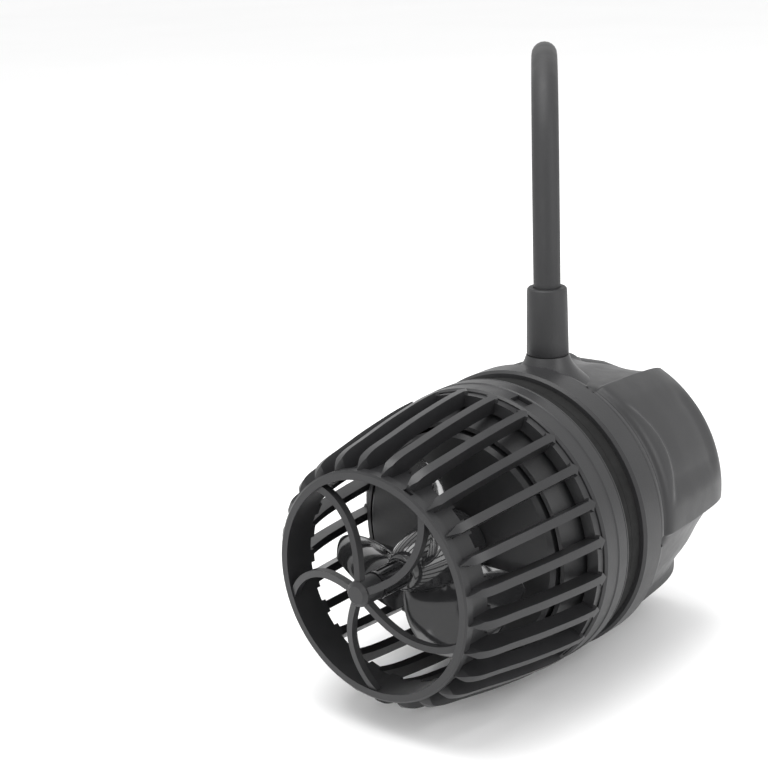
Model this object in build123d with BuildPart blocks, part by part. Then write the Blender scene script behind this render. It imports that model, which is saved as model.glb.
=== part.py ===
"""Magnetically coupled wave maker pump: a wet side and a dry side that clamp an aquarium pane.

The pump axis runs along +Y at AXIS_HEIGHT above the floor; the outlet faces -Y and the cord
leaves upwards. Stations are distances along the axis from the front of the dry side.
"""
from math import cos, pi, radians, sin, tan
import os

from build123d import *

os.makedirs("parts", exist_ok=True)

# ---------------------------------------------------------------- driving dimensions (mm)
RIM_RADIUS = 38.0            # dry side, the widest ring of the pump
AXIS_HEIGHT = RIM_RADIUS
FRONT_STATION = -66.0        # nose of the outlet spider
REAR_STATION = 50.0          # rear face of the motor housing
DRY_FRONT_Y = -(FRONT_STATION + REAR_STATION) / 2
GLASS_GAP = 7.2              # both pads together
PAD_CLEARANCE = 0.1

LIP_STATION = -61.0
LIP_RADIUS = 28.7
DUCT_RADIUS = 26.5
NECK_RADIUS = 28.1
NECK_REAR = -51.2
CAGE_REAR = -17.2
RIB_COUNT = 25
RIB_WIDTH = 2.1
RIB_PITCH = 360 / RIB_COUNT
FIRST_RIB = 8.7
BARREL_OUTER = [
    (-60.2, 28.9), (-58.5, 30.6), (-50, 33.2), (-40, 35.0), (-32, 36.2), (-24, 37.2), (-16.8, 37.6),
]
BARREL_INNER = [(-16.8, 33.9), (-24, 33.4), (-34, 32.2), (-44, 30.4), (-50, 28.6), (-60.2, 26.6)]

SPOKE_COUNT = 5
SPOKE_WIDTH = 1.7
SPOKE_DEPTH = 1.9
SPOKE_END_ANGLE = 36.0
SPOKE_SWEEP = 30.0
SPIDER_BOSS_RADIUS = 3.2

SHAFT_RADIUS = 1.5
RUNNING_CLEARANCE = 0.05
BLADE_COUNT = 3
BLADE_TIP_RADIUS = 25.6
CAN_RADIUS = 28.9
CAN_FRONT = -27.0
CAN_REAR = -11.2
WET_RADIUS = 37.7
WET_FRONT = -17.0
WET_SEAM = -8.0
POLE_COUNT = 8

PAD_RADIUS = 36.2
PLATE_REAR = 8.4
GASKET_THICKNESS = 0.6
SHELL_FRONT = PLATE_REAR + GASKET_THICKNESS
SHELL_WALL = 2.2
PANEL_COUNT = 3
PANEL_SPAN = 70.0
FIRST_PANEL = 60.0
MOTOR_SHAFT_RADIUS = 2.0
TOOTH_COUNT = 9
POST_RADIUS = 28.6

CORD_STATION = 13.2
CORD_DIAMETER = 7.0
RELIEF_SEAM = 40.0           # heights above the pump axis
RELIEF_TOP = 57.8
COIL_RADIUS = 39.0           # middle of the coil's turns
COIL_LAYERS = 3
CONNECTOR_RADIUS = 6.5
CONNECTOR_ANGLE = 149.0      # round the coil, from its near side
CONNECTOR_OVERHANG = 4.5     # rear end, behind the tangent point

# ---------------------------------------------------------------- planes, axes and helpers
AXIS_POINT = (0, DRY_FRONT_Y, AXIS_HEIGHT)
PUMP_AXIS = Axis(AXIS_POINT, (0, 1, 0))
PROFILE = Plane(origin=AXIS_POINT, x_dir=(0, 1, 0), z_dir=(1, 0, 0))


def radial_direction(angle):
    """Unit vector square to the pump axis; the angle runs from +Z towards +X."""
    return Vector(sin(radians(angle)), 0, cos(radians(angle)))


def radial_plane(angle, radius=0.0):
    """Plane facing outwards at a radius, with x along the axis and its origin at station 0."""
    return Plane(origin=AXIS_POINT, x_dir=(0, 1, 0), z_dir=radial_direction(angle)).offset(radius)


def cross_plane(station):
    """Plane square to the pump axis, facing the outlet, with y up and x towards -X."""
    return Plane(origin=(0, DRY_FRONT_Y + station, AXIS_HEIGHT), x_dir=(1, 0, 0), z_dir=(0, -1, 0))


def turned(*corners, plane=PROFILE, arc=360.0, mode=Mode.ADD):
    """Revolve a closed outline of (station, radius) corners about the plane's x axis."""
    with BuildSketch(plane) as outline:
        with BuildLine():
            Polyline(*corners, close=True)
        make_face()
    revolve(outline.sketch, axis=Axis(plane.origin, plane.x_dir), revolution_arc=arc, mode=mode)


def ring(start, end, inner, outer, plane=PROFILE, mode=Mode.ADD):
    """Plain ring between two stations and two radii."""
    if inner > 0:
        turned((start, inner), (start, outer), (end, outer), (end, inner), plane=plane, mode=mode)
    else:
        turned((start, 0), (start, outer), (end, outer), (end, 0), plane=plane, mode=mode)


def sector_plane(angle):
    """PROFILE turned about the pump axis so that a revolve starts at an angle from +Z."""
    normal = Vector(cos(radians(angle)), 0, -sin(radians(angle)))
    return Plane(origin=AXIS_POINT, x_dir=(0, 1, 0), z_dir=normal)


def sector(corners, centre, span, mode=Mode.ADD):
    """Revolve an outline over a span of angles centred on an angle from +Z."""
    turned(*corners, plane=sector_plane(centre - span / 2), arc=span, mode=mode)


def finish(piece, label):
    """Name a finished piece and write it."""
    piece.part.label = label
    export_step(piece.part, f"parts/{label}.step")


# ---------------------------------------------------------------- wet side: the guard body
with BuildPart() as barrel:
    with BuildSketch(PROFILE):
        with BuildLine():
            Spline(*BARREL_OUTER)
            Line(BARREL_OUTER[-1], BARREL_INNER[0])
            Spline(*BARREL_INNER)
            Line(BARREL_INNER[-1], BARREL_OUTER[0])
        make_face()
    revolve(axis=PUMP_AXIS)

with BuildPart() as guard_cage:
    half = RIB_WIDTH / 2
    rib_outline = [(-60.2, 0), (-57.6, half), (-19.4, half), (-18.9, half * 1.7), (-17.1, 0)]
    mirrored = [(station, -side) for station, side in reversed(rib_outline[1:-1])]
    for number in range(RIB_COUNT):
        with BuildSketch(radial_plane(FIRST_RIB + number * RIB_PITCH, 24)):
            with BuildLine():
                Polyline(*rib_outline, *mirrored, close=True)
            make_face()
        extrude(amount=18)
    add(barrel.part, mode=Mode.INTERSECT)
    turned(
        (LIP_STATION, DUCT_RADIUS), (LIP_STATION, 28.2), (-60.6, LIP_RADIUS), (-58.5, LIP_RADIUS),
        (-58.2, NECK_RADIUS), (NECK_REAR, NECK_RADIUS), (NECK_REAR, DUCT_RADIUS),
    )
    ring(CAGE_REAR - 2.2, CAGE_REAR, 33.5, 36.6)
    notch_angles = [FIRST_RIB + (number + 0.5) * RIB_PITCH for number in range(RIB_COUNT)]
    for angle in notch_angles:
        with BuildSketch(radial_plane(angle, 25)):
            with Locations((NECK_REAR, 0)):
                Rectangle(2.4, 3.4)
        extrude(amount=5, mode=Mode.SUBTRACT)
    with BuildSketch(radial_plane(24.6, LIP_RADIUS - 0.7)):
        with Locations((-59.8, 0)):
            Rectangle(1.1, 2.4)
    extrude(amount=3, mode=Mode.SUBTRACT)
finish(guard_cage, "guard_cage")


def spoke_point(end_angle, radius):
    """Point of a spoke's S curve on a plane square to the axis, seen from behind."""
    angle = radians(end_angle + SPOKE_SWEEP * (1 - (radius / 27) ** 2))
    return (radius * sin(angle), radius * cos(angle))


with BuildPart() as outlet_spider:
    spoke_radii = (2.4, 8, 14, 20, 27.0)
    with BuildSketch(cross_plane(-56)):
        for number in range(SPOKE_COUNT):
            end_angle = SPOKE_END_ANGLE + number * 360 / SPOKE_COUNT
            with BuildLine() as spoke_line:
                Spline(*[spoke_point(end_angle, radius) for radius in spoke_radii])
            trace(spoke_line.line, line_width=SPOKE_WIDTH)
    extrude(amount=12)
    turned(
        (-65.5, 0), (-60.6, DUCT_RADIUS), (-60.6 + SPOKE_DEPTH, DUCT_RADIUS), (-65.5 + SPOKE_DEPTH, 0),
        mode=Mode.INTERSECT,
    )
    turned(
        (FRONT_STATION, 0), (FRONT_STATION, 2.2), (-65.2, SPIDER_BOSS_RADIUS), (-59.5, SPIDER_BOSS_RADIUS),
        (-59.5, 2.4), (-64.8, 2.4), (-64.8, 0),
    )
    ring(-64.8, -59.5, 0, 2.4, mode=Mode.SUBTRACT)
finish(outlet_spider, "outlet_spider")

with BuildPart() as front_bush:
    ring(-64.7, -59.7, SHAFT_RADIUS + RUNNING_CLEARANCE, 2.4)
finish(front_bush, "front_bush")

# ---------------------------------------------------------------- wet side: the turning body
with BuildPart() as propeller_shaft:
    ring(-64.3, -11.5, 0, SHAFT_RADIUS)
finish(propeller_shaft, "propeller_shaft")

with BuildPart() as shaft_sleeve:
    ring(-59.1, -49.6, SHAFT_RADIUS, 3.5)
    for number in range(10):
        with BuildSketch(radial_plane(number * 36, 3.0)):
            with Locations((-54.6, 0)):
                Rectangle(7.6, 0.8)
        extrude(amount=2, mode=Mode.SUBTRACT)
finish(shaft_sleeve, "shaft_sleeve")

with BuildPart() as propeller:
    for number in range(BLADE_COUNT):
        blade_angle = 20 + number * 360 / BLADE_COUNT
        for radius, pitch_angle, chord in ((4, 22, 19), (11, 40, 23), (19, 53, 27), (28, 61, 31)):
            with BuildSketch(radial_plane(blade_angle, radius)):
                with Locations(Location((-39, 0, 0), (0, 0, -pitch_angle))):
                    SlotOverall(chord, 2.6 - radius * 0.045)
        loft()
    ring(-50.5, -28.2, 0, BLADE_TIP_RADIUS, mode=Mode.INTERSECT)
    turned((-49.5, 0), (-49.5, 4.4), (-46, 6.2), (-38, 8.3), (-27.1, 9.4), (-27.1, 0))
    ring(-49.5, -27.1, 0, SHAFT_RADIUS, mode=Mode.SUBTRACT)
finish(propeller, "propeller")

with BuildPart() as rotor_can:
    turned(
        (CAN_FRONT, SHAFT_RADIUS), (CAN_FRONT, 27.9), (-26.0, CAN_RADIUS), (CAN_REAR, CAN_RADIUS),
        (CAN_REAR, 27.6), (-25.0, 27.6), (-25.0, 6.0), (-16.8, 6.0), (-16.8, SHAFT_RADIUS),
    )
finish(rotor_can, "rotor_can")

with BuildPart() as rotor_yoke:
    ring(-25.0, -22.0, 6.1, 27.5)
finish(rotor_yoke, "rotor_yoke")


def magnet_ring(start, end, inner, outer):
    """Group of magnet sectors with a small gap between neighbours."""
    corners = [(start, inner), (start, outer), (end, outer), (end, inner)]
    pitch = 360 / POLE_COUNT
    for number in range(POLE_COUNT):
        sector(corners, number * pitch, pitch - 4)


with BuildPart() as rotor_magnets:
    magnet_ring(-22.0, -13.6, 12, 27.3)
finish(rotor_magnets, "rotor_magnets")

with BuildPart() as thrust_washer:
    ring(-16.7, -15.7, SHAFT_RADIUS, 4.6)
finish(thrust_washer, "thrust_washer")

# ---------------------------------------------------------------- wet side: the base body
with BuildPart() as wet_base:
    turned(
        (-25.5, 29.9), (-25.5, 31.0), (WET_FRONT, 32.9), (WET_FRONT, 36.9), (-16.4, 37.45),
        (-11.9, 37.45), (-11.6, WET_RADIUS), (WET_SEAM - 0.2, WET_RADIUS), (WET_SEAM, WET_RADIUS - 0.25),
        (WET_SEAM, 33.0), (-10.2, 33.0), (-10.2, 29.9),
    )
    with BuildSketch(radial_plane(17.0, WET_RADIUS - 1.4)):
        with Locations((-14.0, 0)):
            Rectangle(3.6, 4.6)
    extrude(amount=3, mode=Mode.SUBTRACT)
finish(wet_base, "wet_base")

with BuildPart() as wet_face_plate:
    turned(
        (-GLASS_GAP, 0), (-GLASS_GAP, WET_RADIUS - 0.3), (-7.5, WET_RADIUS), (-7.75, WET_RADIUS),
        (WET_SEAM, WET_RADIUS - 0.25), (WET_SEAM, 32.9), (-10.2, 32.9), (-10.2, 7.0), (-15.5, 7.0),
        (-15.5, 3.0), (-10.5, 3.0), (-10.5, 0),
    )
finish(wet_face_plate, "wet_face_plate")

with BuildPart() as rear_bush:
    ring(-15.5, -10.5, SHAFT_RADIUS + RUNNING_CLEARANCE, 3.0)
finish(rear_bush, "rear_bush")

with BuildPart() as wet_pad:
    ring(-GLASS_GAP, -(GLASS_GAP + PAD_CLEARANCE) / 2, 20, PAD_RADIUS)
finish(wet_pad, "wet_pad")

# ---------------------------------------------------------------- dry side: plates and shell
with BuildPart() as dry_pad:
    ring(-(GLASS_GAP - PAD_CLEARANCE) / 2, 0, 20, PAD_RADIUS)
finish(dry_pad, "dry_pad")

with BuildPart() as front_plate:
    turned(
        (0, 0), (0, 37.3), (0.7, RIM_RADIUS), (PLATE_REAR - 1.0, RIM_RADIUS), (PLATE_REAR, 37.2),
        (PLATE_REAR, 34.0), (2.4, 34.0), (2.4, 0),
    )
    for number in range(PANEL_COUNT):
        direction = radial_direction(FIRST_PANEL + number * 120)
        with BuildSketch(cross_plane(12.9)):
            with Locations((direction.X * POST_RADIUS, direction.Z * POST_RADIUS)):
                Circle(2.6)
                Circle(1.0, mode=Mode.SUBTRACT)
        extrude(amount=10.5)
finish(front_plate, "front_plate")

with BuildPart() as housing_gasket:
    ring(PLATE_REAR, SHELL_FRONT, 34.0, 36.5)
finish(housing_gasket, "housing_gasket")

VALLEY = [
    (SHELL_FRONT, 36.8), (10.4, 36.4), (12.8, 34.0), (20, 33.6), (36, 31.6), (45, 28.8), (48.4, 25),
    (REAR_STATION, 20),
]
PANEL = [
    (12.0, 33), (13.6, 36.6), (30, 36.2), (40, 35.2), (45.5, 33.4), (48.6, 30), (REAR_STATION, 26),
    (REAR_STATION, 20),
]

with BuildPart() as motor_housing:
    turned(*VALLEY, (REAR_STATION, 0), (SHELL_FRONT, 0))
    for number in range(PANEL_COUNT):
        centre = FIRST_PANEL + number * 360 / PANEL_COUNT
        sector(PANEL, centre, PANEL_SPAN)
        inset = [(station, radius - 1.2) for station, radius in PANEL[:-2]]
        inset += [(49.4, 24), (49.4, 18), (12, 18)]
        sector(inset, centre, PANEL_SPAN + 7)
        dish = [(16.5, 45), (16.5, 36.8), (19.5, 35.0), (36, 34.4), (44, 36.4), (44, 45)]
        sector(dish, centre, 40, mode=Mode.SUBTRACT)
        for edge in (-1, 1):
            with BuildSketch(radial_plane(centre + edge * (PANEL_SPAN / 2 + 0.5), 34.6)):
                with Locations((SHELL_FRONT + 1.6, 0)):
                    Rectangle(1.8, 2.6)
            extrude(amount=4, mode=Mode.SUBTRACT)
    with BuildSketch(Plane(origin=(0, DRY_FRONT_Y + CORD_STATION, AXIS_HEIGHT + 28), z_dir=(0, 0, 1))):
        Circle(5.7)
    extrude(amount=RELIEF_SEAM - 28)
    with BuildSketch(Plane(origin=(0, DRY_FRONT_Y + CORD_STATION, AXIS_HEIGHT + 31), z_dir=(0, 0, 1))):
        Circle(10.4)
    extrude(amount=7, taper=33)
    turned(
        (SHELL_FRONT - 3, 0), (SHELL_FRONT - 3, 34.6), (12.4, 31.6), (20, 31.2), (34, 29.4),
        (44, 26.6), (REAR_STATION - SHELL_WALL, 22), (REAR_STATION - SHELL_WALL, 8), (40.6, 8),
        (40.6, 6.1), (45.4, 6.1), (45.4, 0), mode=Mode.SUBTRACT,
    )
    ring(-5, SHELL_FRONT, 0, 39.4, mode=Mode.SUBTRACT)
    for number in range(12):
        with BuildSketch(sector_plane(number * 30 + 15)):
            with Locations((REAR_STATION, 15)):
                Rectangle(8, 8)
        extrude(amount=0.9, both=True, mode=Mode.SUBTRACT)
finish(motor_housing, "motor_housing")

with BuildPart() as strain_relief:
    base = Plane(origin=(0, DRY_FRONT_Y + CORD_STATION, AXIS_HEIGHT + RELIEF_SEAM), z_dir=(0, 0, 1))
    with BuildSketch(base):
        Circle(5.5)
    with BuildSketch(base.offset(RELIEF_TOP - RELIEF_SEAM)):
        Circle(5.2)
    loft()
    chamfer(strain_relief.edges().sort_by(Axis.Z)[-1], length=0.5)
finish(strain_relief, "strain_relief")

# ---------------------------------------------------------------- dry side: the motor
with BuildPart() as motor_frame:
    turned(
        (13.0, 6.2), (13.0, 31.0), (14.6, 31.0), (14.6, 26.0), (36, 26.0), (36, 24.3), (14.6, 24.3),
        (14.6, 8.6), (19.8, 8.6), (19.8, 6.2),
    )
    for number in range(PANEL_COUNT):
        direction = radial_direction(FIRST_PANEL + number * 120)
        with BuildSketch(cross_plane(16)):
            with Locations((direction.X * POST_RADIUS, direction.Z * POST_RADIUS)):
                Circle(1.3)
        extrude(amount=5, mode=Mode.SUBTRACT)
finish(motor_frame, "motor_frame")

with BuildPart() as motor_screws:
    for number in range(PANEL_COUNT):
        direction = radial_direction(FIRST_PANEL + number * 120)
        spot = (direction.X * POST_RADIUS, direction.Z * POST_RADIUS)
        with BuildSketch(cross_plane(16.2)):
            with Locations(spot):
                Circle(2.2)
        extrude(amount=1.6)
        with BuildSketch(cross_plane(14.6)):
            with Locations(spot):
                Circle(1.0)
        extrude(amount=8)
        with BuildSketch(cross_plane(16.2)):
            with Locations(spot):
                Rectangle(2.6, 0.5)
                Rectangle(0.5, 2.6)
        extrude(amount=0.8, mode=Mode.SUBTRACT)
finish(motor_screws, "motor_screws")

with BuildPart() as stator_core:
    ring(21, 35, 21, 24.3)
    for number in range(TOOTH_COUNT):
        with BuildSketch(radial_plane(number * 360 / TOOTH_COUNT, 11)):
            with Locations((28, 0)):
                Rectangle(14, 3.0)
        extrude(amount=11)
        sector([(21, 10.4), (21, 11.8), (35, 11.8), (35, 10.4)], number * 360 / TOOTH_COUNT, 32)
finish(stator_core, "stator_core")

with BuildPart() as stator_windings:
    for number in range(TOOTH_COUNT):
        with BuildSketch(radial_plane(number * 360 / TOOTH_COUNT, 12.6)):
            with Locations((28, 0)):
                RectangleRounded(18.6, 5.6, 1.2)
                Rectangle(14.1, 3.1, mode=Mode.SUBTRACT)
        extrude(amount=7.6)
finish(stator_windings, "stator_windings")

with BuildPart() as front_bearing:
    ring(14.8, 19.8, MOTOR_SHAFT_RADIUS + RUNNING_CLEARANCE, 6.2)
finish(front_bearing, "front_bearing")

with BuildPart() as rear_bearing:
    ring(40.6, 45.3, MOTOR_SHAFT_RADIUS + RUNNING_CLEARANCE, 6.1)
finish(rear_bearing, "rear_bearing")

with BuildPart() as circuit_board:
    ring(37.4, 39.0, 9.5, 26.5)
    for angle, size in ((20, 6.5), (95, 5.0), (150, 7.5), (235, 5.5), (300, 6.0)):
        with BuildSketch(cross_plane(40.2)):
            with Locations((18 * sin(radians(angle)), 18 * cos(radians(angle)))):
                Rectangle(size, size)
        extrude(amount=1.2)
finish(circuit_board, "circuit_board")

with BuildPart() as motor_shaft:
    ring(8.0, 45.0, 0, MOTOR_SHAFT_RADIUS)
finish(motor_shaft, "motor_shaft")

with BuildPart() as motor_magnet:
    ring(20.8, 35.2, MOTOR_SHAFT_RADIUS, 9.8)
finish(motor_magnet, "motor_magnet")

with BuildPart() as drive_disc:
    turned(
        (8.6, MOTOR_SHAFT_RADIUS), (8.6, 25.0), (11.4, 25.0), (11.4, 5.0), (12.6, 5.0),
        (12.6, MOTOR_SHAFT_RADIUS),
    )
finish(drive_disc, "drive_disc")

with BuildPart() as drive_magnets:
    magnet_ring(3.2, 8.6, 12, 24.8)
finish(drive_magnets, "drive_magnets")

# ---------------------------------------------------------------- cord
# The cord stands up out of its strain relief, bends back over the motor housing and drops
# behind it into a coil. Route points are (back, side, height), in a frame turned by CORD_HEADING.
CORD_HEADING = 34.8
CORD_BACK = Vector(-sin(radians(CORD_HEADING)), cos(radians(CORD_HEADING)), 0)
CORD_SIDE = Vector(cos(radians(CORD_HEADING)), sin(radians(CORD_HEADING)), 0)
CORD_EXIT_HEIGHT = AXIS_HEIGHT + RELIEF_TOP
COIL_CENTRE = (112.0, 5.0)
ROUTE = [
    (0, 0, CORD_EXIT_HEIGHT),
    (0, 0, 128.2),
    (22.9, 0, 151.1),
    (55.3, 0, 151.1),
    (78.2, 0, 128.2),
    (80.0, -2, 93),
    (75.0, -3, 62),
    (71.5, 9, 37),
    (78.0, 30, 20.5),
]


def cord_point(back, side, height):
    """Turn a route point into the pump's frame."""
    foot = Vector(0, DRY_FRONT_Y + CORD_STATION, height)
    return foot + CORD_BACK * back + CORD_SIDE * side


def corner_radii(points):
    """Radius of each corner: 0.45 of its shorter run over the tangent of half the turn."""
    radii = []
    for before, here, after in zip(points, points[1:], points[2:]):
        run_in = here - before
        run_out = after - here
        half_turn = radians(run_in.get_angle(run_out)) / 2
        radii.append(0.45 * min(run_in.length, run_out.length) / tan(half_turn))
    return radii


route = [cord_point(*point) for point in ROUTE]
cord_radii = corner_radii(route)
print("cord corner radii:", [round(radius, 1) for radius in cord_radii])

with BuildPart() as cord:
    with BuildLine() as cord_line:
        FilletPolyline(*route, radius=cord_radii)
    with BuildSketch(Plane(origin=route[0], z_dir=route[1] - route[0])):
        Circle(CORD_DIAMETER / 2)
    sweep()
finish(cord, "cord")
section = pi * (CORD_DIAMETER / 2) ** 2
tube_length = sum(edge.length for edge in cord_line.edges())
print("cord tube length", round(tube_length, 1))
print("cord volume over section", round(cord.part.volume / section, 1))

coil_centre = cord_point(*COIL_CENTRE, 0)
with BuildPart() as cord_coil:
    with BuildSketch(Plane(origin=coil_centre, z_dir=(0, 0, 1))):
        Circle(COIL_RADIUS + CORD_DIAMETER)
        Circle(COIL_RADIUS - CORD_DIAMETER, mode=Mode.SUBTRACT)
    extrude(amount=COIL_LAYERS * CORD_DIAMETER)
    fillet(cord_coil.edges(), radius=CORD_DIAMETER * 0.45)
finish(cord_coil, "cord_coil")

# The connector lies on top of the coil, along a tangent of its turns.
connector_turn = radians(CONNECTOR_ANGLE)
outwards = Vector(-cos(connector_turn), sin(connector_turn), 0)
onwards = Vector(sin(connector_turn), cos(connector_turn), 0)
rear = outwards * COIL_RADIUS - onwards * CONNECTOR_OVERHANG
connector_height = COIL_LAYERS * CORD_DIAMETER + CONNECTOR_RADIUS
connector_rear = cord_point(COIL_CENTRE[0] + rear.X, COIL_CENTRE[1] + rear.Y, connector_height)
connector_heading = CORD_BACK * onwards.X + CORD_SIDE * onwards.Y
CONNECTOR = Plane(
    origin=connector_rear, x_dir=connector_heading, z_dir=connector_heading.cross(Vector(0, 0, 1))
)

with BuildPart() as connector_body:
    turned(
        (0, 0), (0, 4.3), (6, 5.2), (12, 6.4), (22, 6.4), (22, 4.8), (29, 4.8),
        (29, 5.0), (38, 5.0), (38, 4.0), (29, 4.0),
        (29, 0), plane=CONNECTOR,
    )
finish(connector_body, "connector_body")

with BuildPart() as connector_collar:
    ring(22, 28.5, 4.8, CONNECTOR_RADIUS, plane=CONNECTOR)
    for number in range(16):
        with BuildSketch(Plane(origin=connector_rear + connector_heading * 23, z_dir=connector_heading)):
            with PolarLocations(CONNECTOR_RADIUS + 0.2, 1, start_angle=number * 22.5):
                Circle(0.45)
        extrude(amount=5, mode=Mode.SUBTRACT)
finish(connector_collar, "connector_collar")

with BuildPart() as connector_pins:
    with BuildSketch(Plane(origin=connector_rear + connector_heading * 29, z_dir=connector_heading)):
        with PolarLocations(2.2, 3):
            Circle(0.55)
    extrude(amount=7)
finish(connector_pins, "connector_pins")
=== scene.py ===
"""Looks of the wave maker pump: camera, cord, detailed shells and blades, and every material."""
from math import cos, pi, radians, sin

import bmesh
import bpy
from mathutils import Matrix, Vector


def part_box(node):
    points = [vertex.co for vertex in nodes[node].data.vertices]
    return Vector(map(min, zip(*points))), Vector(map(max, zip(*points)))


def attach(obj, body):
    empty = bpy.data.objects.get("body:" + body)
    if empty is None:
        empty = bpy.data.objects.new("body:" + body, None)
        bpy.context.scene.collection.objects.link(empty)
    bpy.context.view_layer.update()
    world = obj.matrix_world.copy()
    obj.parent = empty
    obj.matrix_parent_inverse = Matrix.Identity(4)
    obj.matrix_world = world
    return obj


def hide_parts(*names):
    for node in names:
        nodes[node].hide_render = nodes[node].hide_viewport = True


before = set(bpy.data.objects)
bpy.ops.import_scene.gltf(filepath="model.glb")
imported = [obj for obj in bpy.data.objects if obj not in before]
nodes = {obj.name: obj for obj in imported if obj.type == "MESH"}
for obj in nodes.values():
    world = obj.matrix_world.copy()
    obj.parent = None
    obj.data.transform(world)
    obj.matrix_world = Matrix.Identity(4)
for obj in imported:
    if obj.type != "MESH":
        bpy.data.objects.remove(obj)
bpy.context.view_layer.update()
MM = 0.001

# ---------------------------------------------------------------- places read from the frame
plate_low, plate_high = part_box("front_plate")
DRY_FRONT = plate_low.y
AXIS_HEIGHT = (plate_low.z + plate_high.z) / 2
AXIS = Vector((0, DRY_FRONT, AXIS_HEIGHT))
relief_low, relief_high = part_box("strain_relief")
CORD_FOOT = Vector(((relief_low.x + relief_high.x) / 2, (relief_low.y + relief_high.y) / 2, 0))

# ---------------------------------------------------------------- camera
AZIMUTH = radians(40.66)
ELEVATION = radians(16.24)
ROLL = radians(-2.3)
DISTANCE = 0.4326
AIM_RIGHT = -0.03576
AIM_UP = 0.03349
LENS = 77.47


def add_camera():
    """Camera at the product view: low, from the outlet's right."""
    back = Vector((sin(AZIMUTH) * cos(ELEVATION), -cos(AZIMUTH) * cos(ELEVATION), sin(ELEVATION)))
    level = Vector((cos(AZIMUTH), sin(AZIMUTH), 0))
    rise = back.cross(level)
    right = level * cos(ROLL) + rise * sin(ROLL)
    up = rise * cos(ROLL) - level * sin(ROLL)
    data = bpy.data.cameras.new("camera")
    data.lens = LENS
    data.sensor_width = 36
    data.clip_start = 0.01
    camera = bpy.data.objects.new("camera", data)
    bpy.context.scene.collection.objects.link(camera)
    place = Matrix((right, up, back)).transposed().to_4x4()
    place.translation = AXIS + right * AIM_RIGHT + up * AIM_UP + back * DISTANCE
    camera.matrix_world = place
    bpy.context.scene.camera = camera


# ---------------------------------------------------------------- materials
def start_material(name, colour, roughness, metallic=0.0):
    """Principled material with object coordinates; returns the material and its helpers."""
    material = bpy.data.materials.new(name)
    material.use_nodes = True
    tree = material.node_tree
    shader = tree.nodes["Principled BSDF"]
    shader.inputs["Base Color"].default_value = (*colour, 1)
    shader.inputs["Roughness"].default_value = roughness
    shader.inputs["Metallic"].default_value = metallic
    shader.inputs["Specular IOR Level"].default_value = 0.5 if metallic else 0.36
    coords = tree.nodes.new("ShaderNodeTexCoord")
    return material, tree, shader, coords.outputs["Object"]


def noise(tree, vector, scale, detail=3.0, stretch=None):
    """Noise texture in metres, optionally stretched along an axis."""
    if stretch is not None:
        mapping = tree.nodes.new("ShaderNodeMapping")
        mapping.inputs["Scale"].default_value = stretch
        tree.links.new(vector, mapping.inputs["Vector"])
        vector = mapping.outputs["Vector"]
    texture = tree.nodes.new("ShaderNodeTexNoise")
    texture.inputs["Scale"].default_value = scale
    texture.inputs["Detail"].default_value = detail
    tree.links.new(vector, texture.inputs["Vector"])
    return texture.outputs["Fac"]


def stripes(tree, vector, direction, scale, distortion=0.0):
    """Wave bands along an axis."""
    wave = tree.nodes.new("ShaderNodeTexWave")
    wave.bands_direction = direction
    wave.inputs["Scale"].default_value = scale
    wave.inputs["Distortion"].default_value = distortion
    tree.links.new(vector, wave.inputs["Vector"])
    return wave.outputs["Fac"]


def spread(tree, factor, low, high):
    """Map a texture value to a range."""
    node = tree.nodes.new("ShaderNodeMapRange")
    node.inputs["From Min"].default_value = 0.3
    node.inputs["From Max"].default_value = 0.7
    node.inputs["To Min"].default_value = low
    node.inputs["To Max"].default_value = high
    tree.links.new(factor, node.inputs["Value"])
    return node.outputs["Result"]


def tint(tree, factor, dark, light):
    """Blend two colours by a texture value."""
    ramp = tree.nodes.new("ShaderNodeValToRGB")
    ramp.color_ramp.elements[0].position = 0.3
    ramp.color_ramp.elements[1].position = 0.7
    ramp.color_ramp.elements[0].color = (*dark, 1)
    ramp.color_ramp.elements[1].color = (*light, 1)
    tree.links.new(factor, ramp.inputs["Fac"])
    return ramp.outputs["Color"]


def bump(tree, shader, factor, depth, strength=1.0):
    """Bump of a real depth in metres."""
    node = tree.nodes.new("ShaderNodeBump")
    node.inputs["Distance"].default_value = depth
    node.inputs["Strength"].default_value = strength
    tree.links.new(factor, node.inputs["Height"])
    tree.links.new(node.outputs["Normal"], shader.inputs["Normal"])


def shade(colour, factor):
    """Scale a colour."""
    return tuple(min(1.0, channel * factor) for channel in colour)


def moulded(name, colour, roughness, grain=2600.0, depth=0.00002, variation=0.12, coat=0.0):
    """Moulded plastic or rubber: faint mottling, uneven gloss and a fine surface texture."""
    material, tree, shader, place = start_material(name, colour, roughness)
    mottle = noise(tree, place, 60.0, 4.0)
    tree.links.new(
        tint(tree, mottle, shade(colour, 1 - variation), shade(colour, 1 + variation)),
        shader.inputs["Base Color"],
    )
    sheen = noise(tree, place, 240.0, 3.0)
    tree.links.new(spread(tree, sheen, roughness * 0.9, roughness * 1.1), shader.inputs["Roughness"])
    bump(tree, shader, noise(tree, place, grain, 2.0), depth)
    shader.inputs["Coat Weight"].default_value = coat
    shader.inputs["Coat Roughness"].default_value = 0.08
    return material


def metal(name, colour, roughness, stretch):
    """Machined metal: fine tool marks across the stretch."""
    material, tree, shader, place = start_material(name, colour, roughness, 1.0)
    marks = noise(tree, place, 900.0, 4.0, stretch)
    tree.links.new(tint(tree, marks, shade(colour, 0.82), shade(colour, 1.1)), shader.inputs["Base Color"])
    tree.links.new(spread(tree, marks, roughness * 0.8, roughness * 1.3), shader.inputs["Roughness"])
    bump(tree, shader, marks, 0.00001)
    return material


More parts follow.
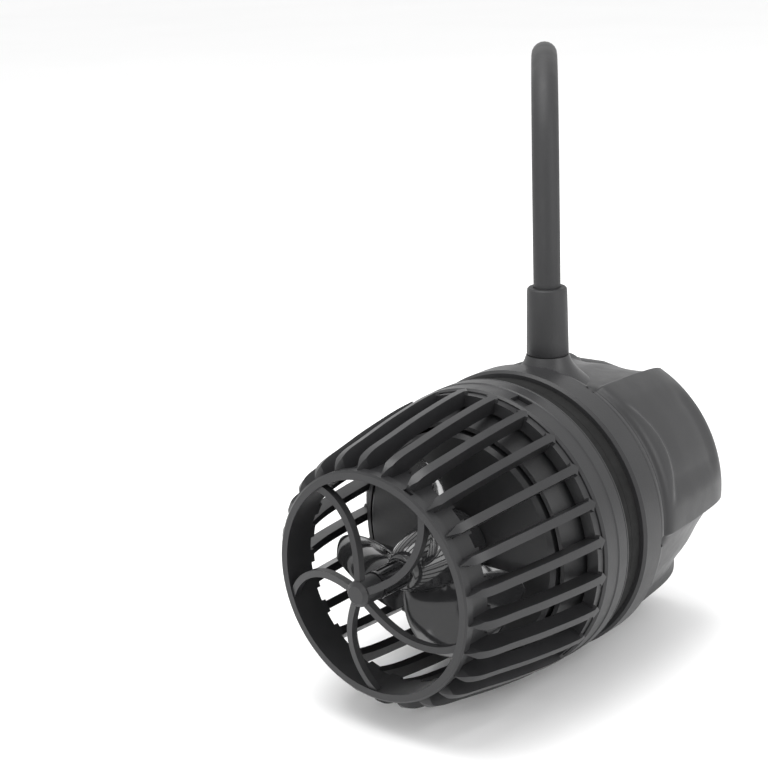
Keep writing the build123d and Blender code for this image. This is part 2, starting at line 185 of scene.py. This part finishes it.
def striped(name, colour, roughness, direction, scale, depth, metallic=1.0):
    """Wound wire or stacked sheets: regular bands with a real depth."""
    material, tree, shader, place = start_material(name, colour, roughness, metallic)
    bands = stripes(tree, place, direction, scale, 0.4)
    tree.links.new(tint(tree, bands, shade(colour, 0.45), colour), shader.inputs["Base Color"])
    bump(tree, shader, bands, depth)
    return material


SHELL = moulded("shell_plastic", (0.022, 0.022, 0.023), 0.4, 2400.0, 0.00003)
GUARD = moulded("guard_plastic", (0.018, 0.018, 0.019), 0.34, 2600.0, 0.00002)
BLADE = moulded("blade_plastic", (0.02, 0.02, 0.021), 0.1, 500.0, 0.000004, 0.2, 0.6)
CAN = moulded("can_plastic", (0.016, 0.016, 0.017), 0.42, 2200.0, 0.00002)
# Black rubber of the pads, darkened below the other rubbers as painted shade for the shadowed gap between
# the wet and dry sides.
PAD_RUBBER_AND_SHADE = moulded("pad_rubber", (0.004, 0.004, 0.004), 0.9, 1400.0, 0.00006, 0.25)
GASKET = moulded("gasket_rubber", (0.02, 0.02, 0.02), 0.7, 1800.0, 0.00003)
CERAMIC = moulded("bush_ceramic", (0.78, 0.77, 0.73), 0.22, 900.0, 0.000005, 0.04)
JACKET = moulded("cord_jacket", (0.021, 0.021, 0.022), 0.55, 1700.0, 0.00004)
RELIEF = moulded("relief_rubber", (0.02, 0.02, 0.021), 0.5, 2000.0, 0.00003)
CONNECTOR = moulded("connector_plastic", (0.03, 0.03, 0.031), 0.4, 1800.0, 0.00003)
BOARD = moulded("board_laminate", (0.015, 0.11, 0.045), 0.3, 600.0, 0.00005, 0.35)
STEEL = metal("shaft_steel", (0.62, 0.62, 0.63), 0.2, (1, 12, 1))
YOKE = metal("yoke_steel", (0.42, 0.42, 0.43), 0.38, (6, 1, 6))
MAGNET = metal("magnet_metal", (0.63, 0.62, 0.6), 0.18, (1, 1, 1))
FRAME = metal("frame_aluminium", (0.72, 0.72, 0.74), 0.3, (5, 1, 5))
SCREW = metal("screw_steel", (0.5, 0.5, 0.51), 0.28, (4, 4, 4))
PIN = metal("pin_gold", (0.85, 0.62, 0.25), 0.2, (2, 8, 2))
CORE = striped("core_steel", (0.35, 0.35, 0.37), 0.35, "Y", 320.0, 0.00008)
COPPER = striped("winding_copper", (0.72, 0.33, 0.14), 0.28, "Y", 420.0, 0.0001)

NODE_MATERIALS = {
    "guard_cage": GUARD, "outlet_spider": GUARD, "front_bush": CERAMIC, "propeller_shaft": STEEL,
    "shaft_sleeve": BLADE, "propeller": BLADE, "rotor_can": CAN, "rotor_yoke": YOKE,
    "rotor_magnets": MAGNET, "thrust_washer": CERAMIC, "wet_base": SHELL, "wet_face_plate": SHELL,
    "rear_bush": CERAMIC, "wet_pad": PAD_RUBBER_AND_SHADE, "dry_pad": PAD_RUBBER_AND_SHADE, "front_plate": SHELL,
    "housing_gasket": GASKET, "motor_housing": SHELL, "strain_relief": RELIEF, "motor_frame": FRAME,
    "motor_screws": SCREW, "stator_core": CORE, "stator_windings": COPPER, "front_bearing": STEEL,
    "rear_bearing": STEEL, "circuit_board": BOARD, "motor_shaft": STEEL, "motor_magnet": MAGNET,
    "drive_disc": YOKE, "drive_magnets": MAGNET, "connector_body": CONNECTOR,
    "connector_collar": CONNECTOR, "connector_pins": PIN, "cord": JACKET, "cord_coil": JACKET,
}


def dress_nodes():
    """Give each CAD node its material."""
    for name, material in NODE_MATERIALS.items():
        mesh = nodes[name].data
        mesh.materials.clear()
        mesh.materials.append(material)


# ---------------------------------------------------------------- mesh helpers
def make_piece(name, points, faces, material, body, smooth_angle=35):
    """Mesh object from points and faces, smooth except at sharp edges."""
    mesh = bpy.data.meshes.new(name)
    mesh.from_pydata([tuple(point) for point in points], [], faces)
    shell = bmesh.new()
    shell.from_mesh(mesh)
    bmesh.ops.remove_doubles(shell, verts=shell.verts, dist=1e-7)
    bmesh.ops.recalc_face_normals(shell, faces=shell.faces)
    shell.to_mesh(mesh)
    shell.free()
    mesh.materials.append(material)
    piece = bpy.data.objects.new(name, mesh)
    bpy.context.scene.collection.objects.link(piece)
    for polygon in mesh.polygons:
        polygon.use_smooth = True
    mesh.set_sharp_from_angle(angle=radians(smooth_angle))
    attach(piece, body)
    return piece


def grid_faces(rows, columns, closed):
    """Quads between rows of a grid, wrapping round the columns when closed."""
    faces = []
    last = columns if closed else columns - 1
    for row in range(rows - 1):
        for column in range(last):
            here = row * columns + column
            right = row * columns + (column + 1) % columns
            faces.append((here, right, right + columns, here + columns))
    return faces


def tube_faces(rows, columns):
    """Quads of a grid closed both ways, so that its last row joins its first."""
    faces = grid_faces(rows, columns, True)
    last = (rows - 1) * columns
    for column in range(columns):
        right = (column + 1) % columns
        faces.append((last + column, last + right, right, column))
    return faces


def around(station, radius, angle):
    """Point at a station along the pump axis, a radius, and an angle from +Z towards +X."""
    return AXIS + Vector((radius * sin(angle), station, radius * cos(angle)))


def ease(low, high, value):
    """Smooth step from 0 at low to 1 at high."""
    t = min(1.0, max(0.0, (value - low) / (high - low)))
    return t * t * (3 - 2 * t)


def follow(table, position):
    """Catmull-Rom value along a table of rows, at a row position."""
    index = min(int(position), len(table) - 2)
    t = position - index
    rows = [table[max(0, min(len(table) - 1, index + shift))] for shift in (-1, 0, 1, 2)]
    result = []
    for a, b, c, d in zip(*rows):
        square = 2 * a - 5 * b + 4 * c - d
        cube = 3 * b - a - 3 * c + d
        result.append(0.5 * (2 * b + (c - a) * t + square * t * t + cube * t ** 3))
    return result


# ---------------------------------------------------------------- motor housing
PANEL_CENTRES = (60, 180, 300)
PANEL_HALF = 35.0
SHELL_COLUMNS = 480
# station, radius of the valley between panels, radius of a panel, all in millimetres
SHELL_TABLE = [
    (9.0, 36.6, 36.6), (9.4, 36.9, 36.9), (10.6, 36.7, 36.7), (11.3, 35.9, 36.1), (12.2, 34.5, 35.3),
    (13.2, 34.0, 35.4), (14.4, 33.9, 36.3), (16.0, 33.8, 36.7), (19, 33.6, 36.7), (23, 33.3, 36.5),
    (27, 32.9, 36.3), (31, 32.4, 36.0), (35, 31.8, 35.7), (39, 31.0, 35.3), (42.5, 29.9, 34.7),
    (45.4, 28.4, 33.8), (47.4, 26.8, 32.4), (48.9, 24.8, 30.6), (49.7, 22.6, 28.2), (50.0, 20.2, 25.0),
    (50.0, 18.6, 20.6), (50.0, 16.6, 17.4), (50.0, 14.6, 14.8), (50.0, 12.4, 12.4), (50.0, 10.4, 10.4),
    (50.0, 6.0, 6.0), (50.0, 1.0, 1.0),
]
ROWS_PER_STEP = 5


def panel_weight(offset):
    """1 on a raised panel, then a steep wall and a concave flute down to 0 in the valley."""
    if offset < PANEL_HALF - 0.4:
        return 1.0
    if offset < PANEL_HALF + 1.2:
        return 1.0 - 0.42 * (offset - PANEL_HALF + 0.4) / 1.6
    flute = min(1.0, (offset - PANEL_HALF - 1.2) / 18)
    return 0.58 * (1 - flute) ** 2


def shell_point(position, angle_degrees):
    """Point of the housing skin, with its thumb dishes, latch slots and rear vents."""
    station, valley, panel = follow(SHELL_TABLE, position)
    offset = min(abs((angle_degrees - centre + 180) % 360 - 180) for centre in PANEL_CENTRES)
    radius = valley + (panel - valley) * panel_weight(offset)
    dish_front = 14.6 + 4.4 * (1 - min(1.0, (offset / 24) ** 2))
    dish = ease(dish_front, dish_front + 2.2, station) * (1 - ease(40, 47, station))
    radius -= 1.25 * dish * (1 - ease(13, 25, offset))
    if 9.3 < station < 11.7 and abs(offset - PANEL_HALF) < 2.0:
        radius -= 2.0
    if position > 19.5 and 10.8 < radius < 18.8 and abs((angle_degrees + 15) % 30 - 15) < 3.2:
        station -= 1.8
    return around(station * MM, radius * MM, radians(angle_degrees))


def make_housing():
    """Housing skin as one closed mesh: fluted outside, plain inside."""
    steps = (len(SHELL_TABLE) - 1) * ROWS_PER_STEP
    points = []
    for row in range(steps + 1):
        position = row / ROWS_PER_STEP
        for column in range(SHELL_COLUMNS):
            points.append(shell_point(position, column * 360 / SHELL_COLUMNS))
    inner = [(47.6, 1.0), (47.6, 21.0), (44, 26.0), (34, 28.9), (20, 31.0), (12.4, 31.4), (9.0, 34.2)]
    for station, radius in inner:
        for column in range(SHELL_COLUMNS):
            points.append(around(station * MM, radius * MM, 2 * pi * column / SHELL_COLUMNS))
    rows = steps + 1 + len(inner)
    faces = tube_faces(rows, SHELL_COLUMNS)
    piece = make_piece("housing_shell", points, faces, SHELL, "dry_side", 50)
    centre_cap = []
    rings = ((49.9, 0.0), (49.9, 1.4), (48.4, 1.4), (48.4, 0.0))
    for station, radius in rings:
        for column in range(24):
            centre_cap.append(around(station * MM, radius * MM, 2 * pi * column / 24))
    make_piece("housing_gate_mark", centre_cap, grid_faces(4, 24, True), SHELL, "dry_side")
    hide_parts("motor_housing")


BOSS_OUTLINE = [
    (27, 9.0), (29, 13.4), (31.5, 12.2), (33.6, 10.2), (35.4, 8.2), (37.0, 6.9), (38.4, 6.1), (39.5, 5.75),
    (39.9, 5.6), (40.0, 5.2),
]


def upright_lathe(name, outline, columns, material, base=AXIS_HEIGHT):
    """Turned piece about the cord's upright axis, from (height, radius) in millimetres."""
    points = []
    for height, radius in outline:
        for column in range(columns):
            angle = 2 * pi * column / columns
            across = Vector((cos(angle), sin(angle), 0)) * radius * MM
            points.append(CORD_FOOT + across + Vector((0, 0, base + height * MM)))
    faces = grid_faces(len(outline), columns, True)
    faces.append(tuple(range(columns)))
    faces.append(tuple(range((len(outline) - 1) * columns, len(outline) * columns)))
    return make_piece(name, points, faces, material, "dry_side")


def make_relief():
    """Flared boss on the housing and the tapered strain relief above its seam."""
    upright_lathe("cord_boss", BOSS_OUTLINE, 96, SHELL)
    outline = [
        (40.05, 5.0), (40.1, 5.35), (40.4, 5.5), (44, 5.44), (50, 5.34), (56.6, 5.22), (57.4, 5.12),
        (57.75, 4.8), (57.8, 4.2), (57.8, 3.6), (57.3, 3.5),
    ]
    relief = upright_lathe("strain_relief_sleeve", outline, 96, RELIEF)
    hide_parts("strain_relief")


# ---------------------------------------------------------------- propeller
BLADE_COUNT = 3
BLADE_ROWS = 26
BLADE_COLUMNS = 34
BLADE_TIP = 25.5
BLADE_MIDDLE = -39.0
FIRST_BLADE = 20.0
HUB_COLUMNS = 72
# radius, pitch angle from the axis, chord, sweep of the middle of the chord in degrees
BLADE_TABLE = [(3.5, 20, 17, -8), (9, 36, 22, -3), (15, 47, 27, 4), (21, 55, 29, 12), (25.5, 60, 22, 20)]


def blade_point(across, along, side):
    """Point of a blade's skin: across runs root to tip, along runs from leading to trailing edge."""
    radius, pitch, chord, sweep = follow(BLADE_TABLE, across * (len(BLADE_TABLE) - 1))
    radius = min(radius, BLADE_TIP)
    rounding = max(0.0, 1 - (2 * along - 1) ** 2) ** 0.5
    thickness = (2.3 - 1.3 * across) * rounding * (1 - 0.85 * across ** 8)
    reach = (along - 0.5) * chord
    station = BLADE_MIDDLE + reach * cos(radians(pitch)) - side * thickness / 2 * sin(radians(pitch))
    tangent = reach * sin(radians(pitch)) + side * thickness / 2 * cos(radians(pitch))
    return station, radius, radians(sweep) + tangent / radius


def make_propeller():
    """Hub and broad twisted blades with rounded edges."""
    points = []
    faces = []
    for number in range(BLADE_COUNT):
        turn = radians(FIRST_BLADE + number * 360 / BLADE_COUNT)
        start = len(points)
        for row in range(BLADE_ROWS):
            across = row / (BLADE_ROWS - 1)
            for side in (1, -1):
                for column in range(BLADE_COLUMNS):
                    fraction = column / BLADE_COLUMNS
                    along = (1 - cos(pi * fraction)) / 2
                    if side < 0:
                        along = 1 - along
                    station, radius, angle = blade_point(across, along, side)
                    points.append(around(station * MM, radius * MM, turn - angle))
        width = 2 * BLADE_COLUMNS
        faces += [tuple(start + index for index in face) for face in grid_faces(BLADE_ROWS, width, True)]
        faces.append(tuple(start + column for column in range(width)))
        tip = start + (BLADE_ROWS - 1) * width
        faces.append(tuple(tip + column for column in range(width)))
    hub = [
        (-49.5, 1.6), (-49.5, 4.0), (-49.2, 4.6), (-47.6, 5.6), (-45, 6.7), (-41, 7.8), (-36, 8.8),
        (-31, 9.3), (-27.4, 9.4), (-27.1, 9.1), (-27.1, 1.6),
    ]
    start = len(points)
    for station, radius in hub:
        for column in range(HUB_COLUMNS):
            points.append(around(station * MM, radius * MM, 2 * pi * column / HUB_COLUMNS))
    hub_faces = tube_faces(len(hub), HUB_COLUMNS)
    faces += [tuple(start + index for index in face) for face in hub_faces]
    piece = make_piece("propeller_blades", points, faces, BLADE, "impeller")
    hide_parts("propeller")


# ---------------------------------------------------------------- cord
CORD_DIAMETER = 0.007
CORD_HEADING = radians(34.8)
CORD_BACK = Vector((-sin(CORD_HEADING), cos(CORD_HEADING), 0))
CORD_SIDE = Vector((cos(CORD_HEADING), sin(CORD_HEADING), 0))
COIL_BACK = 0.112
COIL_SIDE = 0.005
OUTER_TURN = 0.0425
INNER_TURN = 0.0355
TOP_LAYER = 0.0175
MIDDLE_LAYER = 0.0105
FLOOR_LAYER = 0.0035
CONNECTOR_AXIS = 0.0275
CONNECTOR_ANGLE = 149.0
CONNECTOR_OVERHANG = 0.0045
MIDDLE_TURN = 0.039
POINTS_PER_TURN = 16
TIE_ANGLE = 300.0
TIE_COLUMNS = 64
COIL_START = 62.0
COIL_END = 85.0 + 5 * 360
ROUTE = [
    (0, 0, 0.0958), (0, 0, 0.1282), (0.0229, 0, 0.1511), (0.0553, 0, 0.1511), (0.0782, 0, 0.1282),
    (0.080, 0.0005, 0.093), (0.075, 0.0003, 0.062), (0.0715, 0.009, 0.037), (0.078, 0.030, 0.0205),
]
TURN_RADII = [OUTER_TURN, OUTER_TURN, OUTER_TURN, INNER_TURN, INNER_TURN, INNER_TURN]
TURN_HEIGHTS = [TOP_LAYER, MIDDLE_LAYER, FLOOR_LAYER, FLOOR_LAYER, MIDDLE_LAYER, TOP_LAYER]


def cord_point(back, side, height):
    """Turn a route point into the pump's frame."""
    return CORD_FOOT + CORD_BACK * back + CORD_SIDE * side + Vector((0, 0, height))


def coil_points():
    """Control points of the wound turns: down three outside, then up three inside."""
    points = []
    steps = round((COIL_END - COIL_START) / 360 * POINTS_PER_TURN)
    for step in range(steps + 1):
        angle = COIL_START + (COIL_END - COIL_START) * step / steps
        turn = (angle - COIL_START) / 360
        layer = min(int(turn), len(TURN_RADII) - 2)
        change = ease(0.84, 1.0, turn - layer)
        radius = TURN_RADII[layer] + (TURN_RADII[layer + 1] - TURN_RADII[layer]) * change
        height = TURN_HEIGHTS[layer] + (TURN_HEIGHTS[layer + 1] - TURN_HEIGHTS[layer]) * change
        back = COIL_BACK - radius * cos(radians(angle))
        side = COIL_SIDE + radius * sin(radians(angle))
        points.append(cord_point(back, side, height))
    return points


def make_cord():
    """One smooth cord: up, over, down behind, round in three layers, and into its connector."""
    turn = radians(CONNECTOR_ANGLE)
    rise = []
    for angle, radius, height in ((102, 0.0358, 0.0188), (117, 0.0368, 0.0218), (130, 0.0382, 0.0252)):
        back = COIL_BACK - radius * cos(radians(angle))
        side = COIL_SIDE + radius * sin(radians(angle))
        rise.append(cord_point(back, side, height))
    rear_back = COIL_BACK - MIDDLE_TURN * cos(turn) - CONNECTOR_OVERHANG * sin(turn)
    rear_side = COIL_SIDE + MIDDLE_TURN * sin(turn) - CONNECTOR_OVERHANG * cos(turn)
    rise.append(cord_point(rear_back, rear_side, CONNECTOR_AXIS))
    points = [cord_point(*point) for point in ROUTE] + coil_points() + rise
    curve = bpy.data.curves.new("cord_line", "CURVE")
    curve.dimensions = "3D"
    curve.bevel_depth = CORD_DIAMETER / 2
    curve.bevel_resolution = 8
    curve.use_fill_caps = True
    spline = curve.splines.new("NURBS")
    spline.points.add(len(points) - 1)
    for control, point in zip(spline.points, points):
        control.co = (*point, 1)
    spline.order_u = 3
    spline.use_endpoint_u = True
    spline.resolution_u = 10
    curve.materials.append(JACKET)
    cord = bpy.data.objects.new("cord_line", curve)
    bpy.context.scene.collection.objects.link(cord)
    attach(cord, "dry_side")
    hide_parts("cord", "cord_coil")
    tie = make_tie()


def make_tie():
    """Strap round the coil's turns."""
    centre_angle = radians(TIE_ANGLE)
    outward = -CORD_BACK * cos(centre_angle) + CORD_SIDE * sin(centre_angle)
    along = Vector((0, 0, 1)).cross(outward)
    middle = cord_point(COIL_BACK, COIL_SIDE, 0) + outward * (OUTER_TURN + INNER_TURN) / 2
    middle.z = (TOP_LAYER + FLOOR_LAYER) / 2
    points = []
    for level, half in ((-0.0026, 0.0070), (-0.0026, 0.0078), (0.0026, 0.0078), (0.0026, 0.0070)):
        for column in range(TIE_COLUMNS):
            angle = 2 * pi * column / TIE_COLUMNS
            reach_x = half * (1 if cos(angle) > 0 else -1) * abs(cos(angle)) ** 0.5
            reach_z = (half + 0.0035) * (1 if sin(angle) > 0 else -1) * abs(sin(angle)) ** 0.5
            point = middle + outward * reach_x + along * level + Vector((0, 0, reach_z))
            point.z = max(point.z, 0.0001)
            points.append(point)
    faces = tube_faces(4, TIE_COLUMNS)
    return make_piece("coil_tie", points, faces, CONNECTOR, "dry_side")


# ---------------------------------------------------------------- stage and light
def add_area(name, spot, aim, size, power):
    """Soft box at a spot, facing a point of the pump."""
    data = bpy.data.lights.new(name, "AREA")
    data.shape = "RECTANGLE"
    data.size = size[0]
    data.size_y = size[1]
    data.energy = power
    light = bpy.data.objects.new(name, data)
    bpy.context.scene.collection.objects.link(light)
    light.location = AXIS + Vector(spot)
    light.rotation_euler = (AXIS + Vector(aim) - light.location).to_track_quat("-Z", "Y").to_euler()


def add_stage():
    """Pale floor and even white surroundings with soft boxes above and at the sides."""
    mesh = bpy.data.meshes.new("floor")
    reach = 6.0
    corners = [(-reach, -reach, 0), (reach, -reach, 0), (reach, reach, 0), (-reach, reach, 0)]
    mesh.from_pydata(corners, [], [(0, 1, 2, 3)])
    material, tree, shader, place = start_material("floor_white", (0.93, 0.93, 0.93), 0.6)
    tree.links.new(
        tint(tree, noise(tree, place, 3.0), (0.92, 0.92, 0.92), (0.94, 0.94, 0.94)),
        shader.inputs["Base Color"],
    )
    mesh.materials.append(material)
    floor = bpy.data.objects.new("floor", mesh)
    bpy.context.scene.collection.objects.link(floor)
    world = bpy.data.worlds.new("studio")
    world.use_nodes = True
    world.node_tree.nodes["Background"].inputs["Color"].default_value = (1, 1, 1, 1)
    world.node_tree.nodes["Background"].inputs["Strength"].default_value = 1.02
    bpy.context.scene.world = world
    add_area("key_top", (-0.15, -0.1, 0.9), (0, 0, 0), (0.7, 0.7), 7)
    add_area("side_right", (0.9, 0.1, 0.45), (0, 0, 0), (0.5, 0.9), 4)
    add_area("front_low", (0.0, -1.0, 0.25), (0, 0, 0), (0.9, 0.4), 2.5)
    bpy.context.scene.view_settings.view_transform = "Standard"
    bpy.context.scene.view_settings.look = "None"


add_camera()
dress_nodes()
make_cord()
make_housing()
make_relief()
make_propeller()
add_stage()
